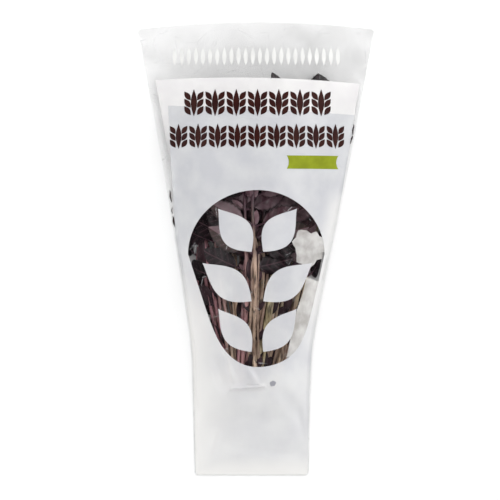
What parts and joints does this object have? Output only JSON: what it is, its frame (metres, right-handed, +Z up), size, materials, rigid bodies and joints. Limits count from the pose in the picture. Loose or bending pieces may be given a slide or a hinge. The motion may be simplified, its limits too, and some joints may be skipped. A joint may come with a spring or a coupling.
{
  "type": "purple basil bunch in sleeve",
  "caption": "Bunch of purple basil sprigs, leaves up and cut stems down, in a tapered clear plastic herb sleeve with an open wide mouth, lying on its back film.",
  "frame": {"origin": "on the surface that the sleeve lies on, under the middle of the sleeve's box", "axes": "+Y along the sleeve from its closed foot to its open mouth, +X across it to the right seen from above with the mouth up, +Z up out of the front film"},
  "size_m": [0.182, 0.35, 0.0376],
  "materials": {
    "film": "thin clear film, slightly hazy, white printed panel on the front",
    "herb": "dark purple satin leaves, reddish brown stems"
  },
  "bodies": {
    "root": {"sleeve": "film", "sprig_01": "herb", "sprig_02": "herb", "sprig_03": "herb", "sprig_04": "herb", "sprig_05": "herb", "sprig_06": "herb", "sprig_07": "herb", "sprig_08": "herb", "sprig_09": "herb", "sprig_10": "herb", "sprig_11": "herb"}
  },
  "joints": []
}
